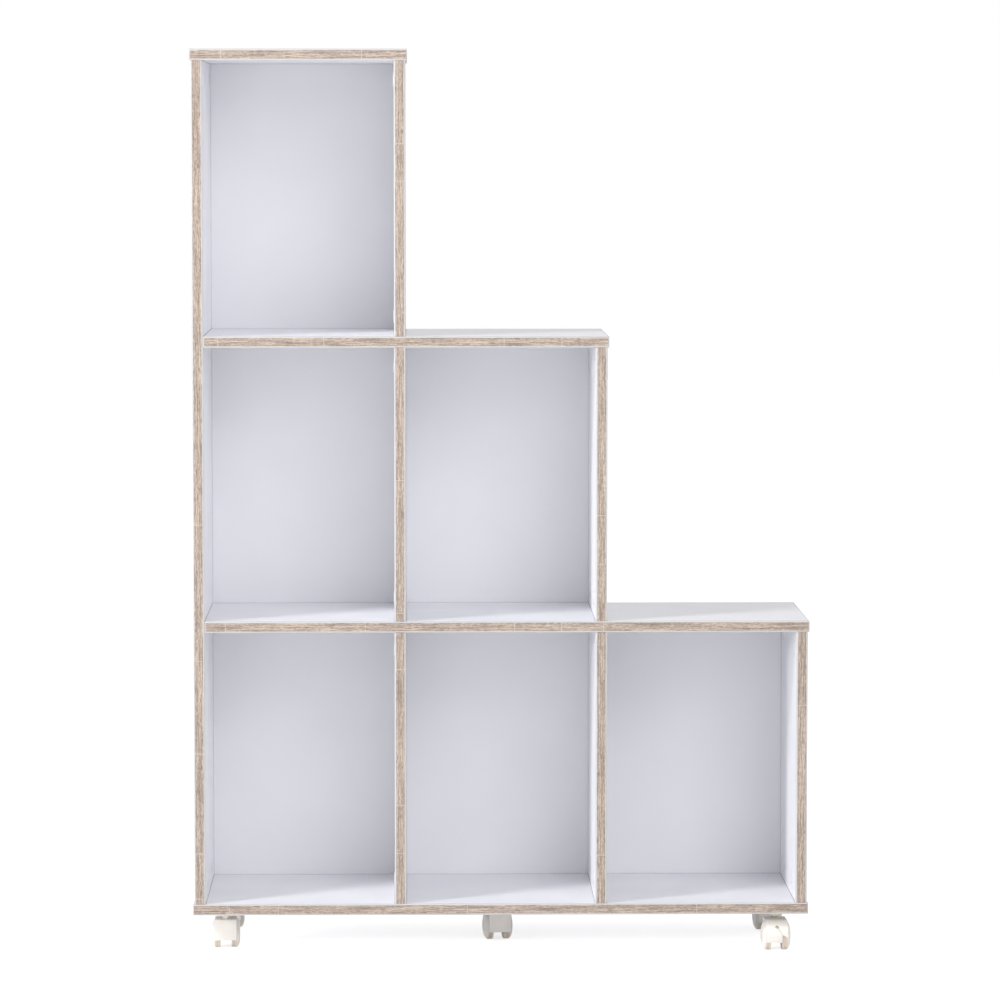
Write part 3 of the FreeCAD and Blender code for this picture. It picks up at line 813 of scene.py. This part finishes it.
cameraView = {
    "place": (-0.1123, -6.179, 1.0529),
    "down": 4.321,           # degrees
    "right": 1.052,          # degrees
    "lens": 168.23,          # mm
    "sensor": 36.0,          # mm
}
deselectAll()
cameraTurn = (math.radians(90 - cameraView["down"]), 0, -math.radians(cameraView["right"]))
bpy.ops.object.camera_add(location=cameraView["place"], rotation=cameraTurn)
camera = bpy.context.object
camera.data.lens = cameraView["lens"]
camera.data.sensor_width = cameraView["sensor"]
bpy.context.scene.camera = camera

studio = {
    "aim": (0.0, 0.0, 0.6),
    "keyPlace": (-4.36, -2.82, 1.3),    # low on the left
    "keyPower": 86.0,
    "keySize": 0.6,
    "skyPlace": (-3.2, -2.1, 3.0),      # high on the left
    "skyPower": 73.0,
    "skySize": 0.9,
    "fillPlace": (1.6, -3.2, 2.8),      # high on the right
    "fillPower": 37.0,
    "fillSize": 2.0,
    "frontPlace": (0.2, -3.0, 0.6),     # low in front
    "frontPower": 19.5,
    "frontSize": 3.0,
    "white": "#FFFFFF",
    "ambient": 0.50,
    "floorSize": 30.0,
    "floorGlow": 0.66,       # share of the floor's white that no shadow takes away
    "floorColour": "#F2F2F2",
}


def addLamp(name, place, aim, power, size):
    deselectAll()
    away = Vector(place) - Vector(aim)
    bpy.ops.object.light_add(type="AREA", location=place, rotation=away.to_track_quat("Z", "Y").to_euler())
    lamp = bpy.context.object
    lamp.name = name
    lamp.data.energy = power
    lamp.data.shape = "SQUARE"
    lamp.data.size = size


for lampName in ("key", "sky", "fill", "front"):
    addLamp(lampName + "Lamp", studio[lampName + "Place"], studio["aim"], studio[lampName + "Power"],
            studio[lampName + "Size"])


# 1 for rays that show the background itself, straight or in a gloss or glass
def seesBackground(tree):
    path = addNode(tree, "LightPath")
    either = addNode(tree, "Math", {"operation": "MAXIMUM"},
                     {0: path.outputs["Is Camera Ray"], 1: path.outputs["Is Glossy Ray"]})
    return addNode(tree, "Math", {"operation": "MAXIMUM"},
                   {0: either.outputs[0], 1: path.outputs["Is Transmission Ray"]}).outputs[0]


# the room lights the object softly and is itself seen as white
world = bpy.data.worlds.new("paleStudio")
bpy.context.scene.world = world
world.use_nodes = True
worldTree = world.node_tree
worldTree.nodes.clear()
white = linear(studio["white"])
roomLight = addNode(worldTree, "Background", {"Color": white, "Strength": studio["ambient"]})
roomWhite = addNode(worldTree, "Background", {"Color": white, "Strength": 1.0})
roomMix = addNode(worldTree, "MixShader", {}, {0: seesBackground(worldTree), 1: roomLight.outputs[0],
                                               2: roomWhite.outputs[0]})
addNode(worldTree, "OutputWorld", {}, {"Surface": roomMix.outputs[0]})

# Studio paper: matt and nearly white, seen as white with only a faint shadow under the object
deselectAll()
bpy.ops.mesh.primitive_plane_add(size=studio["floorSize"])
floor = bpy.context.object
floor.name = "studioFloor"
floorPaper, floorTree = startMaterial("studioPaper")
paper = addNode(floorTree, "BsdfDiffuse", {"Color": linear(studio["floorColour"])})
glowStrength = addNode(floorTree, "Math", {"operation": "MULTIPLY", 1: studio["floorGlow"]},
                       {0: seesBackground(floorTree)})
glow = addNode(floorTree, "Emission", {"Color": white}, {"Strength": glowStrength.outputs[0]})
paperGlow = addNode(floorTree, "AddShader", {}, {0: paper.outputs[0], 1: glow.outputs[0]})
addNode(floorTree, "OutputMaterial", {}, {"Surface": paperGlow.outputs[0]})
floor.data.materials.append(floorPaper)

bpy.context.scene.view_settings.view_transform = "Standard"
print("Scene ready")
